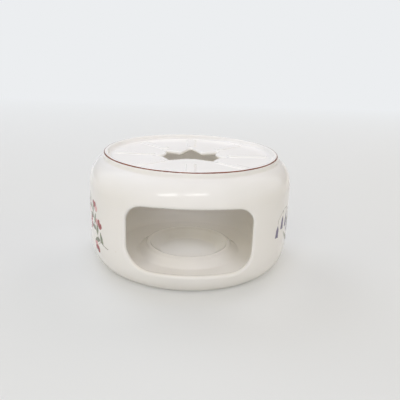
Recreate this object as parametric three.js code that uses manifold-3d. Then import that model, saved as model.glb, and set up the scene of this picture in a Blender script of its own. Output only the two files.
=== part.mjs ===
// Mulled wine warmer: a squat glazed ceramic drum with a tealight inside and a vented top that a pot stands on.
// Millimetres, +Z up, origin at the middle of the foot ring's underside, front window facing -Y.
import * as THREE from "three";
import { mergeVertices } from "three/addons/utils/BufferGeometryUtils.js";
import Module from "manifold-3d";

const wasm = await Module();
wasm.setup();

// Overall
const drumDiameter = 150;
const totalHeight = 84;
const wallThickness = 5.2;
const seatGap = 0.3; // between a piece and the wall that surrounds it

// Foot and heel
const footDiameter = 125.2;
const footWidth = 7.5;
const footHeight = 0.8;
const footRound = 0.5;
const heelInset = 12.5; // how far the wall draws in from the widest part down to the foot
const heelHeight = 21.5;
const heelOverhang = 1; // of the glazed wall over the foot

// Shoulder and rim
const shoulderInset = 14.5;
const shoulderHeight = 18.5;
const rimDiameter = 129.2;
const rimThickness = 3.9;
const rimHeight = 4.4; // from the shoulder up to the crest
const crestRound = 1.5; // height of the crest's rounding
const lineWidth = 1; // coloured line on the outer part of the crest

// Top plate
const plateThickness = 3.2;
const plateDrop = 3.4; // of the plate below the crest
const plateDish = 0.5; // of the plate's middle below its border
const ledgeWidth = 4; // shelf inside the shoulder, under the plate's border
const ledgeThickness = 2.3;
const ribCount = 8;
const ribWidth = 5.4;
const ribHeight = 0.6;
const ribStart = 28;
const ribEnd = 56;

// Star vent
const ventMirror = 90; // degrees from +X; the outline is the same on both sides of this line
const ventSidePoints = [-45, -9, 36]; // the points on the right, from the front to the back
const ventSideRadii = [23, 25, 25]; // how far out each of them reaches
const ventBackRadius = 25; // the same for the point on the mirror line
const ventSideTips = [-27, 13.5, 49.5]; // where the lobe that follows each of them reaches furthest in
const ventSideLobes = [20.5, 19.5, 12]; // how far in that is
const ventSidePowers = [5, 3, 2]; // 1 for a lobe with straight flanks, more for a blunt one between narrow points
const ventFrontLobe = 10.5;
const ventFrontPower = 3.5;
const ventLipWidth = 2.4;
const ventLipDrop = 1.4;
const ventUnderRound = 0.8;

// Front window
const windowWidth = 84;
const windowSill = 16;
const windowHeight = 46;
const windowArch = 2.2; // how much lower its top edge is at the sides than in the middle
const windowTopCorner = 11;
const windowBottomCorner = 15;
const windowEdgeRound = 2;

// Floor and candle ring
const floorThickness = 4.2;
const coveHeight = 12; // of the hollow curve between floor and wall
const wellRadius = 22;
const wellDepth = 0.5;
const wellDraft = 7.6; // how far the ring's inner slope leans out from the well up to the crest
const ringHeight = 6.5;
const ringCrestWidth = 3.4;
const ringCrestRound = 1.5;
const ringFlankWidth = 4;

const turnSegments = 80;

// Shared radii and heights
const drumRadius = drumDiameter / 2;
const footRadius = footDiameter / 2;
const rimRadius = rimDiameter / 2;
const rimInnerRadius = rimRadius - rimThickness;
const crestRadius = (rimRadius + rimInnerRadius) / 2;
const crestStart = totalHeight - crestRound;
const lineInnerRadius = rimRadius - lineWidth;
const lineAngle = THREE.MathUtils.radToDeg(Math.acos((lineInnerRadius - crestRadius) / (rimThickness / 2)));
const floorTop = footHeight + floorThickness;
const floorSeatRadius = footRadius - footWidth / 2;
const plateTop = totalHeight - plateDrop;
const plateBottom = plateTop - plateThickness;
const plateRadius = rimInnerRadius - seatGap;
const innerWallRadius = drumRadius - wallThickness;
const shoulderCentreRadius = drumRadius - shoulderInset;
const shoulderEnd = Math.acos((rimRadius - shoulderCentreRadius) / shoulderInset);
const shoulderStart = totalHeight - rimHeight - shoulderHeight * Math.sin(shoulderEnd);

const glaze = { roughness: 0.16, metalness: 0 };
const glazeWhite = new THREE.MeshStandardMaterial({ ...glaze, color: 0xece9e2 });
const glazeInside = new THREE.MeshStandardMaterial({ ...glaze, color: 0xdedad0 });
const lineBrown = new THREE.MeshStandardMaterial({ roughness: 0.3, metalness: 0, color: 0x8f4b37 });
const bareBody = new THREE.MeshStandardMaterial({ roughness: 0.85, metalness: 0, color: 0xe3d9c8 });

// Points of an elliptical arc in a section or outline, both ends included.
function arc(centreR, centreZ, radiusR, radiusZ, fromDegrees, toDegrees, segments) {
  const points = [];
  for (let i = 0; i <= segments; i++) {
    const angle = THREE.MathUtils.degToRad(fromDegrees + ((toDegrees - fromDegrees) * i) / segments);
    points.push([centreR + radiusR * Math.cos(angle), centreZ + radiusZ * Math.sin(angle)]);
  }
  return points;
}

// A body turned round Z from a section that runs anticlockwise, so that its faces point out.
function turned(section) {
  const closed = [...section, section[0]];
  const profile = closed.map(([r, z]) => new THREE.Vector2(r, z));
  const geometry = new THREE.LatheGeometry(profile, turnSegments);
  return geometry.rotateX(Math.PI / 2);
}

// A ring whose section changes with the angle: sectionAt(angle) gives the same number of (r, z) points each time.
function sweptRing(sectionAt) {
  const positions = [];
  const indices = [];
  const count = sectionAt(0).length;
  for (let i = 0; i < turnSegments; i++) {
    const angle = (2 * Math.PI * i) / turnSegments;
    for (const [r, z] of sectionAt(angle)) {
      positions.push(r * Math.cos(angle), r * Math.sin(angle), z);
    }
    const row = i * count;
    const nextRow = ((i + 1) % turnSegments) * count;
    for (let j = 0; j < count; j++) {
      const after = (j + 1) % count;
      indices.push(row + j, nextRow + j, nextRow + after, row + j, nextRow + after, row + after);
    }
  }
  return indexedGeometry(positions, indices);
}

function indexedGeometry(positions, indices) {
  const geometry = new THREE.BufferGeometry();
  geometry.setAttribute("position", new THREE.Float32BufferAttribute(positions, 3));
  geometry.setIndex(indices);
  return geometry;
}

function toSolid(geometry) {
  const bare = geometry.clone();
  bare.deleteAttribute("normal");
  bare.deleteAttribute("uv");
  const merged = mergeVertices(bare, 1e-4);
  const vertProperties = new Float32Array(merged.attributes.position.array);
  const triVerts = new Uint32Array(merged.index.array);
  return new wasm.Manifold(new wasm.Mesh({ numProp: 3, vertProperties, triVerts }));
}

function toGeometry(solid) {
  const mesh = solid.getMesh();
  const geometry = new THREE.BufferGeometry();
  geometry.setAttribute("position", new THREE.BufferAttribute(mesh.vertProperties, 3));
  geometry.setIndex(new THREE.BufferAttribute(mesh.triVerts, 1));
  geometry.computeVertexNormals();
  return geometry;
}

// Drum wall: from the foot over the heel, the upright side and the shoulder to the rim, and back down inside.
function drumSection() {
  const heelR = drumRadius - heelInset;
  const heelZ = footHeight + heelHeight;
  const heelStart = -THREE.MathUtils.radToDeg(Math.acos((footRadius + heelOverhang - heelR) / heelInset));
  const shoulderDegrees = THREE.MathUtils.radToDeg(shoulderEnd);
  const ledgeBottom = plateBottom - ledgeThickness;
  const innerShoulderWidth = shoulderInset - wallThickness;
  const innerShoulderHeight = ledgeBottom - shoulderStart;
  const floorEdge = floorSeatRadius + seatGap;
  const coveTop = floorTop + coveHeight;
  return [
    ...arc(heelR, heelZ, heelInset, heelHeight, heelStart, 0, 6),
    ...arc(shoulderCentreRadius, shoulderStart, shoulderInset, shoulderHeight, 0, shoulderDegrees, 6),
    [rimRadius, crestStart],
    [lineInnerRadius, crestStart],
    ...arc(crestRadius, crestStart, rimThickness / 2, crestRound, lineAngle, 180, 5),
    [rimInnerRadius, plateBottom],
    [rimInnerRadius - ledgeWidth, plateBottom],
    [rimInnerRadius - ledgeWidth, ledgeBottom],
    ...arc(shoulderCentreRadius, shoulderStart, innerShoulderWidth, innerShoulderHeight, 75, 0, 4),
    [innerWallRadius, coveTop],
    ...arc(floorEdge, coveTop, innerWallRadius - floorEdge, coveHeight, -15, -90, 4),
    [floorEdge, footHeight],
  ];
}

// Window outline seen from the front: offset pushes it outwards, along its own edge.
function windowOutline(offset) {
  const half = windowWidth / 2 + offset;
  const bottom = windowSill - offset;
  const top = windowSill + windowHeight + offset;
  const topCorner = windowTopCorner + offset;
  const bottomCorner = windowBottomCorner + offset;
  const arched = ([x, z]) => [x, z - (windowArch * (x / half) ** 2 * (z - bottom)) / (top - bottom)];
  return [
    ...arc(half - bottomCorner, bottom + bottomCorner, bottomCorner, bottomCorner, -90, 0, 8),
    ...arc(half - topCorner, top - topCorner, topCorner, topCorner, 0, 90, 7),
    [half / 3, top],
    [0, top],
    [-half / 3, top],
    ...arc(-half + topCorner, top - topCorner, topCorner, topCorner, 90, 180, 7),
    ...arc(-half + bottomCorner, bottom + bottomCorner, bottomCorner, bottomCorner, 180, 270, 8),
    [-half / 4, bottom],
    [0, bottom],
    [half / 4, bottom],
  ].map(arched);
}

// The cutter follows the curve of the wall and flares out through both faces, which leaves the opening round edges.
function windowCutter() {
  const beyond = windowEdgeRound * 2;
  const widest = windowWidth / 2 + windowEdgeRound;
  const rows = [];
  const flatRow = (y) => windowOutline(windowEdgeRound).map(([x, z]) => [x, y, z]);
  const onCylinder = (radius) => ([x, z]) => [x, -Math.sqrt(radius ** 2 - x ** 2), z];
  const curvedRow = (radius, offset) => windowOutline(offset).map(onCylinder(radius));
  rows.push(flatRow(-Math.sqrt(innerWallRadius ** 2 - widest ** 2) + beyond));
  for (const turn of [-15, 20, 55, 90]) {
    const share = Math.sin(THREE.MathUtils.degToRad(turn));
    rows.push(curvedRow(innerWallRadius + windowEdgeRound * share, windowEdgeRound * (1 - share)));
  }
  for (const turn of [90, 55, 20, -15]) {
    const share = Math.sin(THREE.MathUtils.degToRad(turn));
    rows.push(curvedRow(drumRadius - windowEdgeRound * share, windowEdgeRound * (1 - share)));
  }
  rows.push(flatRow(-drumRadius - beyond));
  return cappedLoft(rows);
}

// Joins rows of (x, y, z) points from the first to the last, and closes both ends flat.
function cappedLoft(rows) {
  const count = rows[0].length;
  const indices = [];
  for (let i = 0; i + 1 < rows.length; i++) {
    for (let j = 0; j < count; j++) {
      const after = (j + 1) % count;
      const a = i * count + j;
      const b = a + count;
      const c = (i + 1) * count + after;
      const d = i * count + after;
      indices.push(a, c, b, a, d, c);
    }
  }
  const last = (rows.length - 1) * count;
  const outline = rows[0].map(([x, , z]) => new THREE.Vector2(x, z));
  for (const [a, b, c] of THREE.ShapeUtils.triangulateShape(outline, [])) {
    indices.push(a, c, b, last + a, last + b, last + c);
  }
  return indexedGeometry(rows.flat(2), indices);
}

function makeDrumWall() {
  const wall = toSolid(turned(drumSection()));
  return toGeometry(wall.subtract(toSolid(windowCutter())));
}

// Radius of the vent's edge at an angle: it runs from each point in to the lobe and out again to the next point.
function ventRadius(angle) {
  const turnedBack = (list) => [...list].reverse();
  const mirrored = (angles) => turnedBack(angles).map((degrees) => 2 * ventMirror - degrees);
  const points = [...ventSidePoints, ventMirror, ...mirrored(ventSidePoints), ventSidePoints[0] + 360];
  const tips = [...ventSideTips, ...mirrored(ventSideTips), ventMirror + 180];
  const radii = [...ventSideRadii, ventBackRadius, ...turnedBack(ventSideRadii), ventSideRadii[0]];
  const lobes = [...ventSideLobes, ...turnedBack(ventSideLobes), ventFrontLobe];
  const powers = [...ventSidePowers, ...turnedBack(ventSidePowers), ventFrontPower];
  const past = THREE.MathUtils.radToDeg(angle) - points[0] + 1e-6;
  const degrees = points[0] + THREE.MathUtils.euclideanModulo(past, 360);
  const i = points.findIndex((point, index) => point <= degrees && degrees < points[index + 1]);
  const near = degrees < tips[i] ? i : i + 1;
  const share = Math.min(1, (degrees - tips[i]) / (points[near] - tips[i]));
  return lobes[i] + (radii[near] - lobes[i]) * share ** powers[i];
}

function plateSurface(r) {
  return plateTop - plateDish * (1 - (r / plateRadius) ** 2);
}

function plateSection(angle) {
  const edge = ventRadius(angle);
  const lipR = edge + ventLipWidth;
  const lipZ = plateSurface(lipR);
  const lip = arc(lipR, lipZ - ventLipDrop, ventLipWidth, ventLipDrop, 90, 180, 4);
  const under = arc(edge + ventUnderRound, plateBottom + ventUnderRound, ventUnderRound, ventUnderRound, 180, 270, 2);
  const rings = [1, 0.66, 0.33].map((share) => lipR + (plateRadius - lipR) * share);
  return [
    [plateRadius, plateBottom],
    ...rings.map((r) => [r, plateSurface(r)]),
    ...lip,
    ...under,
  ];
}

// A rib lies along +X, flat on top, with round ends and sloped sides, and is sunk a little into the plate.
function ribGeometry() {
  const half = ribWidth / 2;
  const bevel = ribHeight * 0.6;
  const core = half - bevel;
  const shape = new THREE.Shape();
  shape.absarc(ribEnd - half, 0, core, -Math.PI / 2, Math.PI / 2);
  shape.absarc(ribStart + half, 0, core, Math.PI / 2, (3 * Math.PI) / 2);
  const depth = ribHeight + plateThickness / 2 - bevel;
  const options = { depth, bevelThickness: bevel, bevelSize: bevel, bevelSegments: 2, curveSegments: 5 };
  return new THREE.ExtrudeGeometry(shape, options).translate(0, 0, plateTop - plateThickness / 2);
}

function makeTopPlate() {
  let plate = toSolid(sweptRing(plateSection));
  for (let i = 0; i < ribCount; i++) {
    plate = plate.add(toSolid(ribGeometry().rotateZ((2 * Math.PI * i) / ribCount)));
  }
  return toGeometry(plate);
}

// The fired-on line fills the step in the rim's outer edge and completes its round crest.
function makeRimLine() {
  return turned([
    [lineInnerRadius, crestStart],
    ...arc(crestRadius, crestStart, rimThickness / 2, crestRound, 0, lineAngle, 3),
  ]);
}

function makeFloorPlate() {
  const well = floorTop - wellDepth;
  return turned([
    [0, footHeight],
    [floorSeatRadius, footHeight],
    [floorSeatRadius, floorTop],
    [wellRadius, floorTop],
    [wellRadius - wellDepth, well],
    [0, well],
  ]);
}

// Crater-shaped ring that keeps the tealight in the middle: a slope inside, a narrow round crest and a hollow flank.
function makeCandleRing() {
  const crestZ = floorTop + ringHeight;
  const crestR = wellRadius + wellDraft + ringCrestWidth / 2;
  const outer = crestR + ringCrestWidth / 2;
  const flankHeight = ringHeight - ringCrestRound;
  return turned([
    [wellRadius, floorTop],
    ...arc(outer + ringFlankWidth, floorTop + flankHeight, ringFlankWidth, flankHeight, 270, 180, 4),
    ...arc(crestR, crestZ - ringCrestRound, ringCrestWidth / 2, ringCrestRound, 20, 180, 5),
  ]);
}

function makeFootRing() {
  const inner = footRadius - footWidth;
  return turned([
    ...arc(inner + footRound, footRound, footRound, footRound, 180, 270, 1),
    ...arc(footRadius - footRound, footRound, footRound, footRound, 270, 360, 1),
    [footRadius, footHeight],
    [inner, footHeight],
  ]);
}

function named(name, geometry, material) {
  const mesh = new THREE.Mesh(geometry, material);
  mesh.name = name;
  return mesh;
}

const group = new THREE.Group();
group.add(named("foot_ring", makeFootRing(), bareBody));
group.add(named("floor_plate", makeFloorPlate(), glazeInside));
group.add(named("candle_ring", makeCandleRing(), glazeInside));
group.add(named("drum_wall", makeDrumWall(), glazeWhite));
group.add(named("top_plate", makeTopPlate(), glazeWhite));
group.add(named("rim_line", makeRimLine(), lineBrown));

export default group;
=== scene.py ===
import math

import bpy
import numpy as np
from mathutils import Matrix, Vector


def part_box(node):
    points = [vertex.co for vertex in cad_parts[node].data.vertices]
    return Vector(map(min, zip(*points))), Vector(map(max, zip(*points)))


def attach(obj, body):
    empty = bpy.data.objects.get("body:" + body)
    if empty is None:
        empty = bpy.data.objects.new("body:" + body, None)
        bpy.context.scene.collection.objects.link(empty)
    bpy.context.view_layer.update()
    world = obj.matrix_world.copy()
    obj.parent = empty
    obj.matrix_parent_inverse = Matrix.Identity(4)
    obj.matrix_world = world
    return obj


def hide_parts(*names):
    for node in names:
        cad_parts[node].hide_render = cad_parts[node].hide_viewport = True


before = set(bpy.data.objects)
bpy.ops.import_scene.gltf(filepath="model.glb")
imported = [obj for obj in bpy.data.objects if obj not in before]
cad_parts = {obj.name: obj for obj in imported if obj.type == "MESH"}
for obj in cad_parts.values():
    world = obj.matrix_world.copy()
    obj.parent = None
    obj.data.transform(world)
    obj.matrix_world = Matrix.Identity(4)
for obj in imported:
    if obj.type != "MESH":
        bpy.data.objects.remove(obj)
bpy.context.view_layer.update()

MM = 0.001

# Sizes that the frame gives, in metres
drum_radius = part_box("drum_wall")[1].x
total_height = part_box("drum_wall")[1].z
foot_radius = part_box("foot_ring")[1].x
foot_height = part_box("foot_ring")[1].z
floor_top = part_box("floor_plate")[1].z
ring_foot_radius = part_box("candle_ring")[1].x
ring_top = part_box("candle_ring")[1].z
plate_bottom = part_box("top_plate")[0].z
rib_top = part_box("top_plate")[1].z
rim_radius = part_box("rim_line")[1].x
crest_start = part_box("rim_line")[0].z

# Wall, heel and shoulder
wall_thickness = 5.2 * MM
heel_inset = 12.5 * MM
heel_height = 21.5 * MM
heel_overhang = 1 * MM
shoulder_inset = 14.5 * MM
shoulder_height = 18.5 * MM
rim_thickness = 3.9 * MM
rim_height = 4.4 * MM
line_width = 0.78 * MM
line_inset = 0.25 * MM
line_low_share = 0.45
line_rise_share = 0.4
foot_width = 7.5 * MM
foot_edge = 0.5 * MM
foot_sink = 0.4 * MM

# Top plate and its vent
plate_dish = 0.5 * MM
plate_cove = 3 * MM
plate_flat_radius = 50 * MM
rib_height = 0.6 * MM
rib_glazed_height = 0.32 * MM
rib_soft = 1.8 * MM
rib_width = 5.4 * MM
rib_start = 28 * MM
rib_end = 56 * MM
rib_count = 8
vent_mirror = 90
vent_side_points = [-45, -9, 36]
vent_side_radii = [23 * MM, 25 * MM, 25 * MM]
vent_back_radius = 25 * MM
vent_side_tips = [-27, 13.5, 49.5]
vent_side_lobes = [20.5 * MM, 19.5 * MM, 12 * MM]
vent_side_powers = [5, 3, 2]
vent_front_lobe = 10.5 * MM
vent_front_power = 3.5
vent_lip_width = 2.4 * MM
vent_lip_drop = 1.4 * MM
vent_depth = 12 * MM

# Window
window_half_width = 42 * MM
window_sill = 16 * MM
window_top = 62 * MM
window_arch = 2.2 * MM
window_shift = 0.5 * MM
window_top_corner = 11 * MM
window_bottom_left = 17 * MM
window_bottom_right = 13 * MM
window_edge_round = 2.3 * MM
window_reach = -30 * MM

# Floor and candle ring
cove_height = 12 * MM
cove_foot_radius = 59.15 * MM
well_radius = 22 * MM
well_depth = 0.5 * MM
well_draft = 7.6 * MM
ring_crest_width = 3.4 * MM
ring_crest_round = 1.5 * MM
ring_foot_spread = 3 * MM

# Fineness of the mesh
cell = 1.15 * MM
section_step = 0.25 * MM
section_blur = 0.6 * MM
section_margin = 5 * MM
gradient_step = 0.05 * MM

# Thin films of fired-on colour
film_proud = 0.05 * MM
film_edge_sink = 0.02 * MM
film_depth = 0.15 * MM

plate_top = rib_top - rib_height
crest_radius = rim_radius - rim_thickness / 2
rim_inner_radius = rim_radius - rim_thickness
shoulder_centre_radius = drum_radius - shoulder_inset
shoulder_end = math.acos((rim_radius - shoulder_centre_radius) / shoulder_inset)
shoulder_start = total_height - rim_height - shoulder_height * math.sin(shoulder_end)
inner_wall_radius = drum_radius - wall_thickness
plate_cove_foot = rim_inner_radius - plate_cove


# Body of revolution: one closed section in r and z, from the base over the outside and back inside
def arc(centre_r, centre_z, radius_r, radius_z, start, end, step=3):
    count = max(2, int(abs(end - start) / step))
    angles = np.radians(np.linspace(start, end, count + 1))
    return [(centre_r + radius_r * math.cos(a), centre_z + radius_z * math.sin(a)) for a in angles]


def body_section():
    heel_r = drum_radius - heel_inset
    heel_z = foot_height + heel_height
    heel_start = -math.degrees(math.acos((foot_radius + heel_overhang - heel_r) / heel_inset))
    crest_round = total_height - crest_start
    under_width = inner_wall_radius - plate_flat_radius
    under_height = plate_bottom - shoulder_start
    cove_top = floor_top + cove_height
    cove_width = inner_wall_radius - cove_foot_radius
    crest_inner = well_radius + well_draft
    ring_crest_r = crest_inner + ring_crest_width / 2
    ring_shoulder_z = ring_top - ring_crest_round
    plate_steps = 24
    plate_radii = plate_cove_foot * np.linspace(0.99, 0, plate_steps)
    return [
        (0, foot_height),
        (foot_radius, foot_height),
        *arc(heel_r, heel_z, heel_inset, heel_height, heel_start, 0),
        *arc(shoulder_centre_radius, shoulder_start, shoulder_inset, shoulder_height, 0,
             math.degrees(shoulder_end)),
        *arc(crest_radius, crest_start, rim_thickness / 2, crest_round, 0, 180, 8),
        *arc(rim_inner_radius - plate_cove, crest_start, plate_cove, crest_start - plate_top, 0, -90, 8),
        *[(r, plate_surface(r)) for r in plate_radii],
        (0, plate_bottom),
        *arc(inner_wall_radius - under_width, shoulder_start, under_width, under_height, 90, 0),
        *arc(cove_foot_radius, cove_top, cove_width, cove_height, 0, -90),
        (ring_foot_radius + ring_foot_spread, floor_top),
        *arc(ring_crest_r, ring_shoulder_z, ring_crest_width / 2, ring_crest_round, 0, 180, 8),
        (well_radius, floor_top - well_depth),
        (0, floor_top - well_depth),
    ]


def plate_surface(r):
    return plate_top - plate_dish * (1 - (r / plate_cove_foot) ** 2)


# Signed distance to the section on a grid in r and z, blurred to corners as soft as glaze leaves them
def distance_to_outline(r, z, outline):
    nearest = np.full(r.shape, 1.0)
    inside = np.zeros(r.shape, bool)
    for (r0, z0), (r1, z1) in zip(outline, outline[1:] + outline[:1]):
        dr, dz = r1 - r0, z1 - z0
        crosses = ((z0 > z) != (z1 > z)) & (r < r0 + (z - z0) * dr / (dz if dz else 1))
        inside ^= crosses
        if r0 == 0 and r1 == 0:
            continue
        share = np.clip(((r - r0) * dr + (z - z0) * dz) / (dr * dr + dz * dz + 1e-18), 0, 1)
        nearest = np.minimum(nearest, np.hypot(r - r0 - share * dr, z - z0 - share * dz))
    return np.where(inside, -nearest, nearest)


def blurred(grid, width):
    reach = int(3 * width)
    weights = np.exp(-0.5 * (np.arange(-reach, reach + 1) / width) ** 2)
    weights /= weights.sum()
    for axis in (0, 1):
        pad = [(reach, reach) if a == axis else (0, 0) for a in (0, 1)]
        padded = np.pad(grid, pad, mode="edge")
        size = grid.shape[axis]
        grid = sum(w * np.take(padded, range(i, i + size), axis) for i, w in enumerate(weights))
    return grid


section_r = np.arange(-section_margin, drum_radius + section_margin, section_step)
section_z = np.arange(-section_margin, total_height + section_margin, section_step)
grid_r, grid_z = np.meshgrid(np.abs(section_r), section_z, indexing="ij")
section_grid = blurred(distance_to_outline(grid_r, grid_z, body_section()), section_blur / section_step)


# Cubic B-spline through the grid: smooth to the second derivative, so reflections run clean over the glaze
def spline_weights(t):
    return [
        (1 - t) ** 3 / 6,
        (3 * t ** 3 - 6 * t ** 2 + 4) / 6,
        (-3 * t ** 3 + 3 * t ** 2 + 3 * t + 1) / 6,
        t ** 3 / 6,
    ]


def section_distance(r, z):
    u = (r + section_margin) / section_step
    v = (z + section_margin) / section_step
    i = np.clip(u.astype(int), 1, len(section_r) - 3)
    j = np.clip(v.astype(int), 1, len(section_z) - 3)
    weights_u = spline_weights(np.clip(u - i, 0, 1))
    weights_v = spline_weights(np.clip(v - j, 0, 1))
    total = 0
    for a in range(4):
        row = sum(weights_v[b] * section_grid[i + a - 1, j + b - 1] for b in range(4))
        total = total + weights_u[a] * row
    return total


# Cuts and additions that turn the revolved form into the warmer
def window_distance(x, z):
    x = x - window_shift
    height = (z - window_sill) / (window_top - window_sill)
    z = z + window_arch * (x / window_half_width) ** 2 * np.clip(height, 0, 1)
    bottom_corner = np.where(x < 0, window_bottom_left, window_bottom_right)
    corner = np.where(height > 0.5, window_top_corner, bottom_corner)
    half_height = (window_top - window_sill) / 2
    across = np.abs(x) - window_half_width + corner
    up = np.abs(z - window_sill - half_height) - half_height + corner
    outside = np.hypot(np.maximum(across, 0), np.maximum(up, 0))
    return np.minimum(np.maximum(across, up), 0) + outside - corner


# Star vent, the same on both sides of its mirror line: points, and lobes of stated bluntness between them
def mirrored(angles):
    return [2 * vent_mirror - angle for angle in angles[::-1]]


vent_first = vent_side_points[0]
vent_points = np.array([*vent_side_points, vent_mirror, *mirrored(vent_side_points), vent_first + 360])
vent_tips = np.array([*vent_side_tips, *mirrored(vent_side_tips), vent_mirror + 180])
vent_radii = np.array([*vent_side_radii, vent_back_radius, *vent_side_radii[::-1], vent_side_radii[0]])
vent_lobes = np.array([*vent_side_lobes, *vent_side_lobes[::-1], vent_front_lobe])
vent_powers = np.array([*vent_side_powers, *vent_side_powers[::-1], vent_front_power])


def vent_radius(angle):
    degrees = (np.degrees(angle) - vent_first) % 360 + vent_first
    i = np.clip(np.searchsorted(vent_points, degrees, side="right") - 1, 0, len(vent_lobes) - 1)
    near = np.where(degrees < vent_tips[i], i, i + 1)
    share = np.clip((degrees - vent_tips[i]) / (vent_points[near] - vent_tips[i]), 0, 1)
    return vent_lobes[i] + (vent_radii[near] - vent_lobes[i]) * share ** vent_powers[i]


def vent_distance(x, y):
    r = np.hypot(x, y)
    angle = np.arctan2(y, x)
    turn = 0.01
    edge = vent_radius(angle)
    slope = (vent_radius(angle + turn) - vent_radius(angle - turn)) / (2 * turn)
    return (r - edge) / np.sqrt(1 + (slope / np.maximum(r, vent_lobes.min())) ** 2)


def rib_distance(x, y):
    sector = 2 * math.pi / rib_count
    angle = np.arctan2(y, x)
    turned = angle - sector * np.round(angle / sector)
    r = np.hypot(x, y)
    along, across = r * np.cos(turned), r * np.sin(turned)
    half = rib_width / 2
    nearest = np.clip(along, rib_start + half, rib_end - half)
    return np.hypot(along - nearest, across) - half


def round_intersection(a, b, radius_a, radius_b):
    a, b = a / radius_a, b / radius_b
    corner = np.hypot(np.maximum(1 + a, 0), np.maximum(1 + b, 0))
    return (np.minimum(-1, np.maximum(a, b)) + corner) * radius_a


def smooth_union(a, b, width):
    share = np.maximum(width - np.abs(a - b), 0) / width
    return np.minimum(a, b) - share * share * width / 4


def body_distance(p):
    x, y, z = p[:, 0], p[:, 1], p[:, 2]
    body = section_distance(np.hypot(x, y), z)
    rib = np.maximum(rib_distance(x, y), np.abs(z - plate_top) - rib_glazed_height)
    body = smooth_union(body, rib, rib_soft)
    window = np.maximum(window_distance(x, z), y - window_reach)
    body = round_intersection(body, -window, window_edge_round, window_edge_round)
    vent = np.maximum(vent_distance(x, y), plate_bottom - vent_depth - z)
    return round_intersection(body, -vent, vent_lip_drop, vent_lip_width)


def body_gradient(p):
    columns = []
    for axis in range(3):
        step = np.zeros(3)
        step[axis] = gradient_step
        rise = body_distance(p + step) - body_distance(p - step)
        columns.append(rise / (2 * gradient_step))
    return np.stack(columns, 1)


def onto_surface(p, rounds=3):
    for _ in range(rounds):
        gradient = body_gradient(p)
        p = p - gradient * (body_distance(p) / np.maximum((gradient ** 2).sum(1), 0.1))[:, None]
    gradient = body_gradient(p)
    return p, gradient / np.linalg.norm(gradient, axis=1)[:, None]


# Surface nets: one vertex in each grid cell that the surface passes, one quad for each edge it crosses
def surface_nets(low, high, step):
    axes = [np.arange(low[a] - 1.37 * step, high[a] + 2 * step, step) for a in range(3)]
    shape = [len(a) for a in axes]
    values = np.empty(shape)
    for i, x in enumerate(axes[0]):
        gy, gz = np.meshgrid(axes[1], axes[2], indexing="ij")
        points = np.stack([np.full(gy.size, x), gy.ravel(), gz.ravel()], 1)
        values[i] = body_distance(points).reshape(gy.shape)
    inside = values < 0
    corners = [(a, b, c) for a in (0, 1) for b in (0, 1) for c in (0, 1)]
    filled = np.zeros([n - 1 for n in shape], int)
    for o in corners:
        filled += inside[tuple(slice(o[a], shape[a] - 1 + o[a]) for a in range(3))]
    cells = np.argwhere((filled > 0) & (filled < 8))
    total = np.zeros((len(cells), 3))
    count = np.zeros(len(cells))
    for o in corners:
        for axis in range(3):
            if o[axis]:
                continue
            end = tuple(1 if a == axis else o[a] for a in range(3))
            a = values[tuple((cells + o).T)]
            b = values[tuple((cells + end).T)]
            crosses = (a < 0) != (b < 0)
            share = np.where(crosses, a / np.where(crosses, a - b, 1), 0)
            point = np.array(o) + share[:, None] * (np.array(end) - np.array(o))
            total += point * crosses[:, None]
            count += crosses
    vertices = np.array([a[0] for a in axes]) + (cells + total / count[:, None]) * step
    number = np.full([n - 1 for n in shape], -1)
    number[tuple(cells.T)] = np.arange(len(cells))
    quads = []
    for axis in range(3):
        u, v = (axis + 1) % 3, (axis + 2) % 3
        first = np.take(inside, range(shape[axis] - 1), axis)
        second = np.take(inside, range(1, shape[axis]), axis)
        edges = np.argwhere(first != second)
        outward = first[tuple(edges.T)]
        du, dv = np.eye(3, dtype=int)[u], np.eye(3, dtype=int)[v]
        ring = [number[tuple((edges + o).T)] for o in (-du - dv, -dv, 0 * du, -du)]
        quad = np.stack(ring, 1)
        quads.append(np.where(outward[:, None], quad, quad[:, ::-1]))
    return vertices, np.concatenate(quads)


def relaxed(vertices, quads, rounds=4):
    edges = np.concatenate([quads[:, [i, (i + 1) % 4]] for i in range(4)])
    for _ in range(rounds):
        total = np.zeros_like(vertices)
        for axis in range(3):
            total[:, axis] = np.bincount(edges[:, 0], vertices[edges[:, 1], axis], len(vertices))
        degree = np.bincount(edges[:, 0], minlength=len(vertices))
        vertices = onto_surface(0.5 * vertices + 0.5 * total / degree[:, None], 1)[0]
    return vertices


# Mesh objects
def new_object(name, vertices, faces, normals=None):
    mesh = bpy.data.meshes.new(name)
    mesh.from_pydata([tuple(v) for v in vertices], [], [tuple(f) for f in faces])
    mesh.shade_smooth()
    if normals is not None:
        mesh.normals_split_custom_set_from_vertices([tuple(n) for n in normals])
    mesh.validate()
    piece = bpy.data.objects.new(name, mesh)
    bpy.context.scene.collection.objects.link(piece)
    return piece


def finish_piece(piece, material, slot=None, *nodes):
    piece.data.materials.append(material)
    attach(piece, "root")
    if nodes:
        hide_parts(*nodes)


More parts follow.
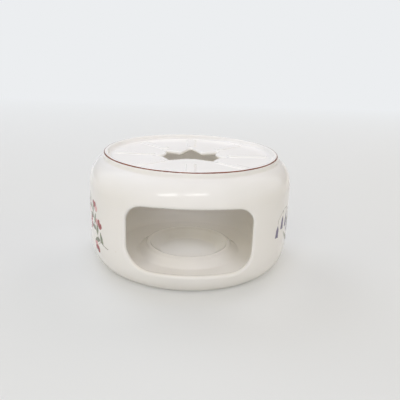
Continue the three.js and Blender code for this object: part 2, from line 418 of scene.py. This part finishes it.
# Materials
class Nodes:
    """A material's node tree with short calls to add and link nodes."""

    def __init__(self, name, roughness, color=None):
        self.material = bpy.data.materials.new(name)
        self.material.use_nodes = True
        self.tree = self.material.node_tree
        self.shader = self.tree.nodes["Principled BSDF"]
        self.shader.inputs["Roughness"].default_value = roughness
        if color:
            self.shader.inputs["Base Color"].default_value = (*color, 1)

    def add(self, kind, inputs=None, **settings):
        node = self.tree.nodes.new("ShaderNode" + kind)
        for key, value in settings.items():
            setattr(node, key, value)
        for key, value in (inputs or {}).items():
            if isinstance(value, bpy.types.NodeSocket):
                self.tree.links.new(value, node.inputs[key])
            else:
                node.inputs[key].default_value = value
        return node

    def position(self):
        return self.add("TexCoord").outputs["Object"]

    def noise(self, scale, detail=3, roughness=0.5):
        inputs = {"Vector": self.position(), "Scale": scale, "Detail": detail, "Roughness": roughness}
        return self.add("TexNoise", inputs).outputs["Fac"]

    def ramp(self, fac, stops):
        node = self.add("ValToRGB", {"Fac": fac})
        while len(node.color_ramp.elements) < len(stops):
            node.color_ramp.elements.new(0.5)
        for element, (place, color) in zip(node.color_ramp.elements, stops):
            element.position = place
            element.color = (*color, 1)
        return node.outputs["Color"]

    def mix(self, fac, a, b, blend="MIX"):
        node = self.add("Mix", data_type="RGBA", blend_type=blend)
        for index, value in ((0, fac), (6, a), (7, b)):
            if isinstance(value, bpy.types.NodeSocket):
                self.tree.links.new(value, node.inputs[index])
            else:
                node.inputs[index].default_value = value if index == 0 else (*value, 1)
        return node.outputs[2]

    def color(self, socket):
        self.tree.links.new(socket, self.shader.inputs["Base Color"])

    def bump(self, height, distance, strength=1.0):
        node = self.add("Bump", {"Height": height, "Distance": distance, "Strength": strength})
        self.tree.links.new(node.outputs["Normal"], self.shader.inputs["Normal"])


def linear(red, green, blue):
    """A colour given in the usual 0 to 255 display values."""
    values = [c / 255 for c in (red, green, blue)]
    return tuple(c / 12.92 if c <= 0.04045 else ((c + 0.055) / 1.055) ** 2.4 for c in values)


def glaze_material():
    n = Nodes("glaze", roughness=0.08)
    cloud = n.noise(scale=22, detail=2)
    tone = n.ramp(cloud, [(0.35, linear(246, 243, 239)), (0.65, linear(249, 246, 243))])
    specks = n.add("TexVoronoi", {"Vector": n.position(), "Scale": 190.0}).outputs["Distance"]
    sparse = n.ramp(n.noise(scale=60, detail=1), [(0.66, (0, 0, 0)), (0.70, (1, 1, 1))])
    dots = n.ramp(specks, [(0.05, (1, 1, 1)), (0.10, (0, 0, 0))])
    fac = n.mix(1.0, dots, sparse, "MULTIPLY")
    n.color(n.mix(fac, tone, linear(226, 220, 208)))
    n.bump(n.noise(scale=160, detail=2), distance=0.02 * MM, strength=0.5)
    return n.material


def line_material():
    n = Nodes("line_colour", roughness=0.22)
    n.color(n.ramp(n.noise(scale=90), [(0.3, linear(112, 54, 32)), (0.7, linear(142, 80, 50))]))
    return n.material


def print_material(name, dark, light):
    n = Nodes(name, roughness=0.2)
    grain = n.noise(scale=420, roughness=0.6)
    n.color(n.ramp(grain, [(0.35, linear(*dark)), (0.65, linear(*light))]))
    return n.material


def bare_material():
    n = Nodes("bare_body", roughness=0.85)
    grain = n.noise(scale=900, detail=4)
    n.color(n.ramp(grain, [(0.3, linear(205, 193, 172)), (0.7, linear(226, 217, 200))]))
    n.bump(n.noise(scale=1500), distance=0.08 * MM, strength=0.6)
    return n.material


glaze = glaze_material()
line_colour = line_material()
bare_body = bare_material()
stem_colour = print_material("stem_colour", (104, 92, 80), (142, 127, 112))
leaf_colour = print_material("leaf_colour", (116, 122, 104), (166, 171, 150))
berry_colour = print_material("berry_colour", (142, 66, 68), (184, 108, 106))
pink_colour = print_material("pink_colour", (212, 154, 156), (236, 196, 194))
bell_colour = print_material("bell_colour", (92, 84, 112), (142, 132, 160))


# Glazed body
def make_body():
    low = (-drum_radius, -drum_radius, foot_height)
    high = (drum_radius, drum_radius, total_height)
    vertices, quads = surface_nets(low, high, cell)
    vertices = relaxed(vertices, quads)
    vertices, normals = onto_surface(vertices, 3)
    piece = new_object("glazed_body", vertices, quads, normals)
    finish_piece(piece, glaze, "glaze", "drum_wall", "top_plate", "floor_plate", "candle_ring")


# A thin closed film of fired-on colour over strips of the glaze; a strip is a list of rows of points
def film(name, strips, material, slot=None, nodes=(), closed=False):
    vertices, faces = [], []
    for rows in strips:
        count = len(rows[0])
        places, normals = onto_surface(np.array(rows, float).reshape(-1, 3), 4)
        across = np.tile(np.linspace(-1, 1, count), len(rows))
        lift = film_proud * (1 - across ** 4) - film_edge_sink
        first = len(vertices)
        under = first + len(places)
        vertices += list(places + normals * lift[:, None])
        vertices += list(places - normals * film_depth)
        for i in range(len(rows) if closed else len(rows) - 1):
            a = i * count
            b = (i + 1) % len(rows) * count
            for j in range(count - 1):
                faces.append([first + k for k in (a + j, b + j, b + j + 1, a + j + 1)])
                faces.append([under + k for k in (a + j + 1, b + j + 1, b + j, a + j)])
            last = count - 1
            faces.append([first + a, under + a, under + b, first + b])
            faces.append([first + a + last, first + b + last, under + b + last, under + a + last])
        if closed:
            continue
        end = (len(rows) - 1) * count
        for j in range(count - 1):
            faces.append([first + j, first + j + 1, under + j + 1, under + j])
            faces.append([under + end + j, under + end + j + 1, first + end + j + 1, first + end + j])
    finish_piece(new_object(name, vertices, faces), material, slot, *nodes)


def make_rim_line():
    turns = 360
    rows = []
    for i in range(turns):
        angle = 2 * math.pi * i / turns
        wobble = 0.12 * math.sin(5 * angle + 1) + 0.09 * math.sin(13 * angle)
        width = line_width * (1 + wobble)
        row = []
        for share in np.linspace(0, 1, 5):
            r = rim_radius - line_inset - width * share
            z = crest_start + (total_height - crest_start) * (line_low_share + line_rise_share * share)
            row.append((r * math.cos(angle), r * math.sin(angle), z))
        rows.append(row)
    film("rim_line_band", [rows], line_colour, "line_colour", ["rim_line"], closed=True)


# Generic sprigs fired on to the glaze at both sides
class Sprig:
    """Strips on the drum's side, from places along and up it, in units, from the sprig's centre."""

    def __init__(self, azimuth, height, unit):
        self.azimuth = math.radians(azimuth)
        self.height = height
        self.unit = unit

    def row(self, middle, across, half_width, count=5):
        row = []
        for share in np.linspace(-half_width, half_width, count):
            along, up = middle + share * across
            angle = self.azimuth + along * self.unit / drum_radius
            x, y = drum_radius * math.sin(angle), -drum_radius * math.cos(angle)
            row.append((x, y, self.height + up * self.unit))
        return row

    def stroke(self, curve, width, steps=24):
        rows = []
        for t in np.linspace(0, 1, steps + 1):
            ahead = heading(curve, t)
            rows.append(self.row(bezier(curve, t), turned(ahead, 90), width / 2 * (1 - 0.5 * t), 3))
        return rows

    def shape(self, base, direction, length, half_width, bend=0):
        """A leaf, berry or bell: half_width(t) gives its half width from its base at 0 to its tip at 1."""
        rows = []
        middle = np.array(base, float)
        steps = 14
        for i in range(steps + 1):
            t = i / steps
            ahead = turned(direction, bend * (t - 0.5))
            rows.append(self.row(middle, turned(ahead, 90), half_width(t)))
            middle = middle + ahead * length / steps
        return rows


def turned(direction, degrees):
    a = math.radians(degrees)
    x, y = direction
    return np.array((x * math.cos(a) - y * math.sin(a), x * math.sin(a) + y * math.cos(a)))


def bezier(curve, t):
    a, b, c, d = (np.array(p, float) for p in curve)
    return a * (1 - t) ** 3 + 3 * b * t * (1 - t) ** 2 + 3 * c * t ** 2 * (1 - t) + d * t ** 3


def heading(curve, t):
    step = bezier(curve, min(t + 0.01, 1)) - bezier(curve, max(t - 0.01, 0))
    return step / np.linalg.norm(step)


def leaf_width(width):
    tip = 0.06
    return lambda t: tip + width / 2 * math.sin(math.pi * t ** 0.8) ** 0.9 if 0 < t < 1 else tip


def berry_width(width):
    tip = 0.06
    return lambda t: tip + width / 2 * math.sqrt(max(1 - (2 * t - 1) ** 2, 0))


def bell_width(width):
    waist = 0.62

    def half_width(t):
        flare = max(t - waist, 0) / (1 - waist)
        return 0.1 + width / 2 * (math.sin(math.pi * min(t, waist)) * 0.75 + 0.25 * flare)
    return half_width


def make_left_sprig():
    sprig = Sprig(azimuth=-63, height=37 * MM, unit=0.9 * MM)
    stem = [(23, -15), (-4, -13), (2, 13), (-18, 17)]
    stalk_length = 7.5
    berry_size = 6.4
    stalks = [sprig.stroke(stem, width=1.1)]
    leaves, ripe, pale = [], [], []
    for i, t in enumerate(np.linspace(0.1, 0.95, 10)):
        side = 1 if i % 2 else -1
        ahead = turned(heading(stem, t), 48 * side)
        width = leaf_width(5.2 - 1.2 * t)
        leaves.append(sprig.shape(bezier(stem, t), ahead, 11 - 2.5 * t, width, bend=30 * side))
    for i, t in enumerate((0.16, 0.32, 0.48, 0.64, 0.8)):
        side = -1 if i % 2 else 1
        base = bezier(stem, t)
        out = turned(heading(stem, t), 62 * side)
        tip = base + out * stalk_length
        stalks.append(sprig.stroke([base, base + out * 2, tip - out * 2, tip], width=0.7, steps=8))
        for j, swing in enumerate((-65, 5, 70)):
            ahead = turned(out, swing)
            size = berry_size - 0.9 * (j % 2)
            berries = pale if (i + j) % 3 == 0 else ripe
            berries.append(sprig.shape(tip, ahead, size, berry_width(size)))
    film("left_sprig_stems", stalks, stem_colour)
    film("left_sprig_leaves", leaves, leaf_colour)
    film("left_sprig_ripe_berries", ripe, berry_colour)
    film("left_sprig_pale_berries", pale, pink_colour)


def make_right_sprig():
    sprig = Sprig(azimuth=66, height=38 * MM, unit=1.15 * MM)
    stem = [(13, -15), (17, 8), (2, 19), (-11, 6)]
    stalk_length = 3.2
    bell_length = 8.5
    stalks = [sprig.stroke(stem, width=1.0)]
    leaves, bells = [], []
    for t, length, swing in ((0.02, 17, 62), (0.1, 13, -35), (0.2, 12, 50), (0.32, 10, 65)):
        ahead = turned(heading(stem, t), swing)
        leaves.append(sprig.shape(bezier(stem, t), ahead, length, leaf_width(3.6), bend=-swing / 2))
    down = np.array((-0.12, -1.0))
    for t, size in ((0.42, 1.1), (0.62, 1.05), (0.82, 1.0), (1.0, 0.9)):
        base = bezier(stem, t)
        tip = base + down * stalk_length
        stalks.append(sprig.stroke([base, base + down, tip - down, tip], width=0.6, steps=6))
        bells.append(sprig.shape(tip, down, bell_length * size, bell_width(6.2 * size)))
    film("right_sprig_stems", stalks, stem_colour)
    film("right_sprig_leaves", leaves, leaf_colour)
    film("right_sprig_bells", bells, bell_colour)


# Foot ring, ground bare
def make_foot_ring():
    edge = foot_edge
    inner = foot_radius - foot_width
    sunk = foot_height + foot_sink
    section = [
        (inner, sunk),
        *arc(inner + edge, edge, edge, edge, 180, 270, 30),
        *arc(foot_radius - edge, edge, edge, edge, 270, 360, 30),
        (foot_radius, sunk),
    ]
    turns = 240
    vertices = []
    for i in range(turns):
        angle = 2 * math.pi * i / turns
        vertices += [(r * math.cos(angle), r * math.sin(angle), z) for r, z in section]
    count = len(section)
    faces = []
    for i in range(turns):
        a, b = i * count, (i + 1) % turns * count
        for j in range(count):
            k = (j + 1) % count
            faces.append((a + j, b + j, b + k, a + k))
    piece = new_object("foot_ring_bare", vertices, faces)
    finish_piece(piece, bare_body, "bare_body", "foot_ring")


make_body()
make_rim_line()
make_left_sprig()
make_right_sprig()
make_foot_ring()


# Stage: plain pale paper; camera rays see part of it as a glow, darker beside the drum as painted shade and
# paler far from it
paper_lit = (226, 226, 224)
# darker glow colour beside the drum: painted shade
paper_near_painted_shade = (218, 217, 214)
paper_far = (236, 238, 240)
paper_reach = 0.9
paper_hold = 0.4
stage_width = 4.0
stage_front = -2.0
stage_back = 1.5
stage_top = 2.0
stage_bend = 0.6
stage_bend_steps = 24


def make_stage():
    n = Nodes("stage", roughness=0.7, color=linear(*paper_lit))
    depth = n.add("SeparateXYZ", {"Vector": n.position()}).outputs["Y"]
    distance = n.add("Math", {0: depth}, operation="ABSOLUTE").outputs["Value"]
    reach = {"Value": distance, "From Min": 0.0, "From Max": paper_reach}
    share = n.add("MapRange", reach).outputs["Result"]
    # glow colour runs from the darker painted shade beside the drum to the pale far paper
    glow_painted_shade = n.mix(share, linear(*paper_near_painted_shade), linear(*paper_far))
    hold = n.ramp(share, [(0.0, (paper_hold,) * 3), (1.0, (1, 1, 1))])
    fac = n.mix(1.0, hold, n.add("LightPath").outputs["Is Camera Ray"], "MULTIPLY")
    glow = n.add("Emission", {"Color": glow_painted_shade, "Strength": 1.0}).outputs["Emission"]
    both = n.add("MixShader", {0: fac, 1: n.shader.outputs["BSDF"], 2: glow}).outputs["Shader"]
    n.tree.links.new(both, n.tree.nodes["Material Output"].inputs["Surface"])
    bend_start = stage_back - stage_bend
    profile = [(stage_front, 0.0), (bend_start, 0.0)]
    for a in np.linspace(0, math.pi / 2, stage_bend_steps)[1:]:
        profile.append((bend_start + stage_bend * math.sin(a), stage_bend - stage_bend * math.cos(a)))
    profile.append((stage_back, stage_top))
    vertices = [(side * stage_width / 2, y, z) for y, z in profile for side in (-1, 1)]
    faces = [(2 * i, 2 * i + 1, 2 * i + 3, 2 * i + 2) for i in range(len(profile) - 1)]
    floor = new_object("stage_sweep", vertices, faces)
    floor.data.materials.append(n.material)


# Soft lamps around the drum, and two strips that its shoulder mirrors
lamp_target = Vector((0, 0, total_height / 2))
streak_inset = 3 * MM
streak_rise = 9 * MM
shoulder_point = Vector((0, -drum_radius + streak_inset, shoulder_start + streak_rise))
strip_distance = 0.9
strip_height = 0.14
strip_power = 0.66
side_distance = 1.5
back_distance = 1.4
front_distance = 1.6
front_left_distance = 1.3
overhead_place = (0, 0.05, 1.3)
bounce_power = 0.01
bounce_size = 90 * MM
bounce_drop = 1 * MM


def add_area(name, place, power, width, height, color=(1, 1, 1), along=None, seen=False):
    """A rectangular lamp aimed at the drum; along turns its width, seen lets it show in the glaze."""
    light = bpy.data.lights.new(name, "AREA")
    light.energy = power
    light.color = color
    light.shape = "RECTANGLE"
    light.size = width
    light.size_y = height
    back = (Vector(place) - lamp_target).normalized()
    side = (Vector(along) if along else Vector((0, 0, 1)).cross(back)).normalized()
    up = back.cross(side).normalized()
    side = up.cross(back)
    lamp = bpy.data.objects.new(name, light)
    lamp.matrix_world = Matrix.Translation(place) @ Matrix((side, up, back)).transposed().to_4x4()
    lamp.visible_glossy = seen
    bpy.context.scene.collection.objects.link(lamp)


def toward(azimuth, elevation):
    """A direction from the drum; the azimuth is 0 at the window and positive to its right."""
    turn, rise = math.radians(azimuth), math.radians(elevation)
    return Vector((math.sin(turn) * math.cos(rise), -math.cos(turn) * math.cos(rise), math.sin(rise)))


def add_strip(name, start, end, power):
    """A long lamp that the shoulder mirrors as one streak; start and end are (azimuth, elevation)."""
    first, last = (shoulder_point + strip_distance * toward(*angles) for angles in (start, end))
    length = (last - first).length
    add_area(name, (first + last) / 2, power, length, strip_height, along=last - first, seen=True)


def make_light():
    left = side_distance * toward(-80, 38)
    right = side_distance * toward(75, 33)
    back_left = back_distance * toward(-140, 40)
    back_right = back_distance * toward(140, 40)
    front = front_distance * toward(0, 46)
    front_left = front_left_distance * toward(-24, 27)
    add_area("left", left, power=4.4, width=1.0, height=1.0, color=(1.0, 0.9, 0.72))
    add_area("right", right, power=4.4, width=1.0, height=1.0, color=(1.0, 0.9, 0.62))
    add_area("back_left", back_left, power=8.3, width=0.8, height=0.8, color=(0.83, 0.89, 1.0))
    add_area("back_right", back_right, power=5.9, width=0.8, height=0.8, color=(1.0, 0.92, 0.87))
    add_area("front", front, power=8.1, width=1.2, height=0.6, color=(0.89, 0.9, 1.0))
    add_area("front_left", front_left, power=1.2, width=0.5, height=0.4, color=(1.0, 0.93, 0.5))
    add_area("overhead", overhead_place, power=3.0, width=0.4, height=0.4, color=(0.64, 0.75, 1.0))
    add_strip("strip_left", (-38.4, 23.9), (-15.1, 32.9), strip_power)
    add_strip("strip_right", (-6.9, 34.7), (23.1, 35.0), strip_power)
    # Stands for the light that bounces on inside the hollow after the renderer's last bounce
    bounce_place = (0, 0, plate_bottom - bounce_drop)
    bounce_tint = (1.0, 0.96, 0.83)
    add_area("bounce", bounce_place, bounce_power, bounce_size, bounce_size, bounce_tint, along=(1, 0, 0))


def make_world():
    world = bpy.data.worlds.new("studio")
    bpy.context.scene.world = world
    world.use_nodes = True
    tree = world.node_tree
    path = tree.nodes.new("ShaderNodeLightPath")
    seen = tree.nodes.new("ShaderNodeMath")
    seen.operation = "MAXIMUM"
    tree.links.new(path.outputs["Is Camera Ray"], seen.inputs[0])
    tree.links.new(path.outputs["Is Glossy Ray"], seen.inputs[1])
    tree.links.new(seen.outputs["Value"], tree.nodes["Background"].inputs["Strength"])
    tree.nodes["Background"].inputs["Color"].default_value = (*linear(*paper_far), 1)


# Camera at the photograph's viewing angle
camera_place = (0, -381.261 * MM, 168.289 * MM)
camera_pitch = math.radians(17.9088)
camera_yaw = math.radians(1.1938)
camera_roll = math.radians(2.0802)
camera_lens = 46.8
camera_sensor = 36


def make_camera():
    pitch, yaw, roll = camera_pitch, camera_yaw, camera_roll
    forward = Vector((math.sin(yaw) * math.cos(pitch), math.cos(yaw) * math.cos(pitch), -math.sin(pitch)))
    level_right = Vector((math.cos(yaw), -math.sin(yaw), 0))
    level_up = level_right.cross(forward)
    right = level_right * math.cos(roll) + level_up * math.sin(roll)
    up = level_up * math.cos(roll) - level_right * math.sin(roll)
    data = bpy.data.cameras.new("camera")
    data.sensor_width = camera_sensor
    data.lens = camera_lens
    camera = bpy.data.objects.new("camera", data)
    turn = Matrix((right, up, -forward)).transposed().to_4x4()
    camera.matrix_world = Matrix.Translation(camera_place) @ turn
    bpy.context.scene.collection.objects.link(camera)
    bpy.context.scene.camera = camera


make_stage()
make_light()
make_world()
make_camera()
bpy.context.scene.view_settings.view_transform = "Standard"
